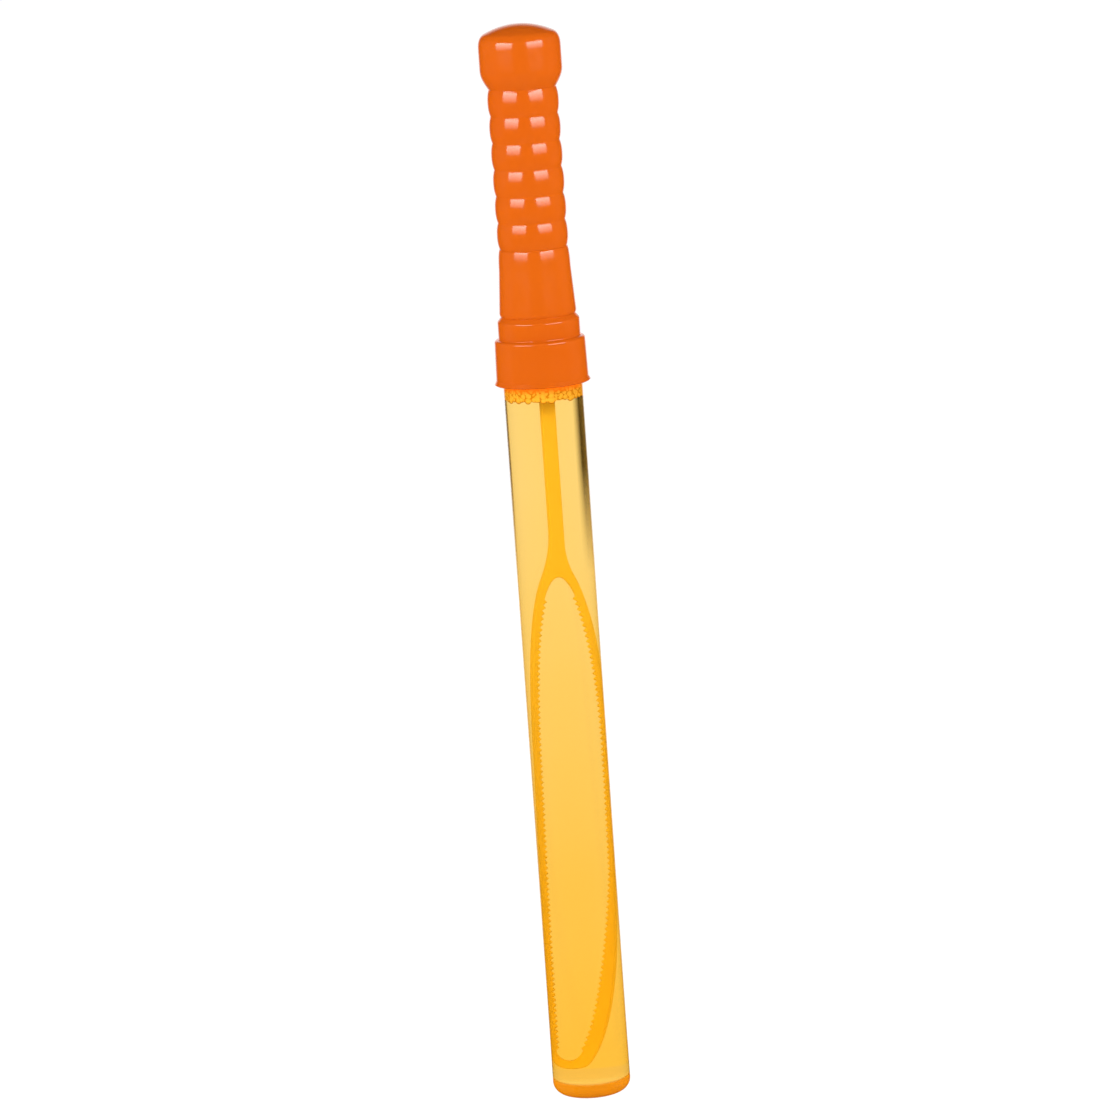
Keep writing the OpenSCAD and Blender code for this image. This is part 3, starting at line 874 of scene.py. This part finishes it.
def shoulder(side):
    """The outline from the arch up along the stem, on the right or, mirrored, on the left."""
    edge = STEM_W / 2 + side * (STEM_ASIDE - LOOP_ASIDE)
    corner = (edge, crown[1] + (crown[0] - edge) * slope)
    end = (edge, 2 * corner[1] - crown[1])
    points = upright(LOOP_HALF_W, taper_z, arch_z, 20)[:-1]
    points += arc(0, arch_z, LOOP_HALF_W, ARCH_H, 0, CROWN_BLEND_ANGLE, 30)
    return points + curve(crown, corner, end, 12)[1:] + [(edge, BOSS_Z + FUSE)]


sweep = arc(TIP_X, taper_z, LOOP_HALF_W - TIP_X, TAPER_H, TOE_ANGLE, 0, 40)
toe_slope = (sweep[1][0] - sweep[0][0]) / (sweep[1][1] - sweep[0][1])
toe_x = sweep[0][0] - (sweep[0][1] - LOOP_Z) * toe_slope
right_outside = curve((TIP_X, LOOP_Z), (toe_x, LOOP_Z), sweep[0], 8)[:-1] + sweep + shoulder(1)
left_outside = (
    arc(TIP_X, LOOP_Z + HEEL_H, LOOP_HALF_W + TIP_X, HEEL_H, 270, 180, 10)[1:]
    + upright(-LOOP_HALF_W, LOOP_Z + HEEL_H, taper_z, 30)
    + [(-x, z) for x, z in shoulder(-1)]
)
foot_heights = [hole_z + HEEL_H * (i / FOOT_STEPS) ** 2 for i in range(FOOT_STEPS)]
right_inside = [(hole_right_x(z), z) for z in foot_heights]
left_inside = arc(TIP_X, hole_z + HEEL_H, hole_half_w + TIP_X, HEEL_H, 270, 180, FOOT_STEPS)[1:-1]
for i in range(2 * teeth_count + 1):
    reach, z = tooth(i)
    right_inside.append((hole_right_x(z) - reach, z))
    left_inside.append((reach - hole_arch_x(z), z))
right_inside += arc(0, arch_z, hole_half_w, hole_arch_h, crown_angle, 90, 14)[1:]
left_inside += [(-x, z) for x, z in arc(0, arch_z, hole_half_w, hole_arch_h, crown_angle, 90, 14)[1:-1]]

bm = bmesh.new()


def outline_verts(points):
    """The loop's outline points as vertices on its front face."""
    return [bm.verts.new(((x + LOOP_ASIDE) * MM, -LOOP_T / 2 * MM, z * MM)) for x, z in points]


right_out, left_out = outline_verts(right_outside), outline_verts(left_outside)
right_in, left_in = outline_verts(right_inside), outline_verts(left_inside)
halves = [
    bm.faces.new(right_out + [left_out[-1]] + right_in[::-1]),
    bm.faces.new([right_out[0]] + left_out + [right_in[-1]] + left_in[::-1] + [right_in[0]]),
]
bmesh.ops.recalc_face_normals(bm, faces=halves)
grown = bmesh.ops.extrude_face_region(bm, geom=halves)
moved = [item for item in grown["geom"] if isinstance(item, bmesh.types.BMVert)]
bmesh.ops.translate(bm, verts=moved, vec=(0, LOOP_T * MM, 0))
bmesh.ops.recalc_face_normals(bm, faces=bm.faces)
rims = [
    e for e in bm.edges
    if len(e.link_faces) == 2
    and e.calc_face_angle() > math.radians(RIM_ANGLE)
    and abs(e.verts[0].co.y - e.verts[1].co.y) < NEAR * MM
]
bmesh.ops.bevel(
    bm,
    geom=rims,
    offset=LOOP_EDGE_R * MM,
    offset_type="OFFSET",
    affect="EDGES",
    segments=2,
    profile=0.5,
    material=-1,
    clamp_overlap=True,
)
bmesh.ops.triangulate(bm, faces=[f for f in bm.faces if len(f.verts) > 4])

# The twist is steepest in its middle and runs out smoothly at both ends.
for vert in bm.verts:
    share = max(-1, min(1, (vert.co.z / MM - TWIST_MIDDLE_Z) / TWIST_H))
    turn = math.radians(TWIST) * share * (1.5 - 0.5 * share**2)
    vert.co = Matrix.Rotation(turn, 3, "Z") @ vert.co
blade = new_object("loop_and_stem", bm, smooth_angle=30)
flange_top_z = PLATE_TOP_Z + FLANGE_T
bm = bmesh.new()
turned(
    bm,
    [(0, stem_top), (STEM_W / 2, stem_top), (BOSS_R, BOSS_Z), (BOSS_R, PLATE_TOP_Z)]
    + [(FLANGE_R, PLATE_TOP_Z), (FLANGE_R, flange_top_z), (0, flange_top_z)],
    WAND_STEPS,
)
wand = new_object("looped_wand", bm)
join_solids(wand, [blade])


def solid_material(name, ior, color, flow_color, roughness, waviness):
    """A material that lets no light through, with the moulded skin on it."""
    material = bpy.data.materials.new(name)
    tree = node_tree(material)
    shader = add_node(tree, "ShaderNodeBsdfPrincipled", (3, 0), IOR=ior)
    out = add_node(tree, "ShaderNodeOutputMaterial", (5, 0))
    moulded(tree, shader, color, flow_color, roughness, waviness)
    tree.links.new(shader.outputs[0], out.inputs[0])
    return material


wand_plastic = solid_material(
    "wand_plastic", 1.1, WAND_YELLOW, WAND_FLOW_YELLOW, roughness=0.5, waviness=0.2
)
wand.data.materials.clear()
wand.data.materials.append(wand_plastic)
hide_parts("wand")
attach(wand, "handle")

# The washer
# A soft white foam ring, cut from sheet, that seals the tube's lip against the cap's plate. It sits
# in the cap.
WASHER_WHITE = (0.86, 0.85, 0.81)
WASHER_FLOW_WHITE = (0.78, 0.77, 0.73)
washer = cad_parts["seal_ring"]
washer_foam = solid_material(
    "washer_foam", 1.45, WASHER_WHITE, WASHER_FLOW_WHITE, roughness=0.8, waviness=0.6
)
washer.data.materials.clear()
washer.data.materials.append(washer_foam)

# The screw cap
# Glossy orange plastic: a skirt that flares at its rim, a plate over the mouth, and the collar
# that the grip is pressed into. Three lugs inside lock under those of the neck.
RIM_Z = 255.5
SKIRT_BORE_R = 14.5
SKIRT_TOP_R = 15.75
SKIRT_FOOT_R = 16.05
FLARE_H = 1.6
FLARE_REACH = 0.6
RIM_EDGE_R = 0.3
PLATE_Z = 269.8
SHOULDER_EDGE_R = 1.0
SHOULDER_FILLET_R = 0.5
COLLAR_R = 14.25
COLLAR_BORE_R = 12.3
COLLAR_SLOPE_H = 1.6
COLLAR_EDGE_SHARE = 0.25
SEAT_R = 12.9
SEAT_Z = 279.2
PLATE_HOLE_R = 6.15
LUG_GAP = 0.4
LOCK_TURN = 60
CAP_ORANGE = (0.625, 0.112, 0.0040)
CAP_FLOW_ORANGE = (0.605, 0.096, 0.0032)
flare_r = SKIRT_FOOT_R + FLARE_REACH
edge_x = SKIRT_TOP_R - SHOULDER_EDGE_R
fillet_x = COLLAR_R + SHOULDER_FILLET_R
slope_z = SEAT_Z - COLLAR_SLOPE_H
slope_foot = (COLLAR_R, slope_z - COLLAR_EDGE_SHARE * COLLAR_SLOPE_H)
slope_end = (
    COLLAR_R - COLLAR_EDGE_SHARE * (COLLAR_R - SEAT_R),
    slope_z + COLLAR_EDGE_SHARE * COLLAR_SLOPE_H,
)
bm = bmesh.new()
turned(
    bm,
    [(SKIRT_BORE_R, RIM_Z)]
    + arc(flare_r - RIM_EDGE_R, RIM_Z + RIM_EDGE_R, RIM_EDGE_R, RIM_EDGE_R, -90, 0, 1)
    + [(SKIRT_FOOT_R, RIM_Z + FLARE_H)]
    + arc(edge_x, PLATE_TOP_Z - SHOULDER_EDGE_R, SHOULDER_EDGE_R, SHOULDER_EDGE_R, 0, 90)
    + arc(fillet_x, PLATE_TOP_Z + SHOULDER_FILLET_R, SHOULDER_FILLET_R, SHOULDER_FILLET_R, -90, -180)
    + curve(slope_foot, (COLLAR_R, slope_z), slope_end)
    + [(SEAT_R, SEAT_Z), (COLLAR_BORE_R, SEAT_Z), (COLLAR_BORE_R, PLATE_TOP_Z)]
    + [(PLATE_HOLE_R, PLATE_TOP_Z), (PLATE_HOLE_R, PLATE_Z), (SKIRT_BORE_R, PLATE_Z)],
)
cap = new_object("cap_shell", bm)
bm = bmesh.new()
for i in range(LUG_COUNT):
    turn = i * 360 / LUG_COUNT - LOCK_TURN
    ring_segment(bm, NECK_R + LUG_GAP, SKIRT_BORE_R + FUSE, CAP_LUG_Z, LUG_H, turn, LUG_SPAN)
cap_lugs = new_object("cap_lugs", bm)
join_solids(cap, [cap_lugs])
orange_plastic = solid_material(
    "orange_plastic", 1.55, CAP_ORANGE, CAP_FLOW_ORANGE, roughness=0.12, waviness=0.15
)
cap.data.materials.clear()
cap.data.materials.append(orange_plastic)
true_walls(cap)
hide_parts("screw_cap")
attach(cap, "handle")

# The grip
# The same orange plastic, blown hollow: a spigot that stands in the collar, a tapering barrel, six
# rings for the fingers and a round-topped knob.
SPIGOT_Z = 273.1
SPIGOT_R = 12.15
BARREL_H = 23.5
BARREL_SWELL = 0.45
BARREL_FOOT_H = 1.41
BARREL_FOOT_R = 13.35
BARREL_TOP_R = 12.45
BARREL_ROUND_H = 7.05
RING_COUNT = 6
RING_PITCH = 9.2
GROOVE_R = 11.65
GROOVE_T = 0.65
RING_BULGE_POWER = 2.4
KNOB_H = 22.1
KNOB_R = 14.25
KNOB_FLARE_H = 6.63
KNOB_FLARE_STEPS = 12
KNOB_EDGE_R = 11.97
KNOB_ROUND_H = 4.0
DOME_H = 4.1
GRIP_WALL = 1.6


def ring_profile(z, steps=16):
    """One finger ring's outline above the groove at z, up to the next groove."""
    points = []
    for i in range(steps):
        from_middle = 2 * i / steps - 1
        bulge = GROOVE_T * (1 - abs(from_middle) ** RING_BULGE_POWER)
        points.append((GROOVE_R + bulge, z + RING_PITCH * (1 + from_middle) / 2))
    return points


rings_z = SEAT_Z + BARREL_H
knob_z = rings_z + RING_COUNT * RING_PITCH
top_z = knob_z + KNOB_H


def dome(edge_r, thickness, steps=14):
    """Points from the dome's edge to its top, or of its inside where it has a thickness."""
    radii = [edge_r * (steps - i) / steps for i in range(steps + 1)]
    return [(r, top_z - DOME_H * (r / KNOB_R) ** 2 - thickness) for r in radii]


hollow_r = GROOVE_R - GRIP_WALL
knob_hollow_r = KNOB_R - GRIP_WALL
edge_z = dome(KNOB_EDGE_R, 0)[0][1]
corner_z = edge_z - 2 * DOME_H * KNOB_EDGE_R * (KNOB_R - KNOB_EDGE_R) / KNOB_R**2
wall_top_z = corner_z - KNOB_ROUND_H
barrel_foot = (BARREL_FOOT_R, SEAT_Z + BARREL_FOOT_H)
profile = [(hollow_r, SPIGOT_Z), (SPIGOT_R, SPIGOT_Z), (SPIGOT_R, SEAT_Z), (SEAT_R, SEAT_Z)]
profile += curve((SEAT_R, SEAT_Z), (BARREL_FOOT_R, SEAT_Z + BARREL_SWELL), barrel_foot)[1:]
profile += arc(GROOVE_R, rings_z - BARREL_ROUND_H, BARREL_TOP_R - GROOVE_R, BARREL_ROUND_H, 0, 80, 10)
for i in range(RING_COUNT):
    profile += ring_profile(rings_z + i * RING_PITCH)
for i in range(KNOB_FLARE_STEPS + 1):
    share = i / KNOB_FLARE_STEPS
    flare = (KNOB_R - GROOVE_R) * math.sin(share * math.pi / 2)
    profile.append((GROOVE_R + flare, knob_z + KNOB_FLARE_H * share))
profile += curve((KNOB_R, wall_top_z), (KNOB_R, corner_z), (KNOB_EDGE_R, edge_z), 12)
profile += dome(KNOB_EDGE_R, 0)[1:]
inside = [(hollow_r, knob_z), (knob_hollow_r, knob_z + KNOB_FLARE_H), (knob_hollow_r, wall_top_z)]
inside += dome(knob_hollow_r * KNOB_EDGE_R / KNOB_R, GRIP_WALL)
bm = bmesh.new()
turned(bm, profile[::-1] + inside)
grip = new_object("ringed_grip", bm)
grip.data.materials.append(orange_plastic)
true_walls(grip)
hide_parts("grip")
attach(grip, "handle")
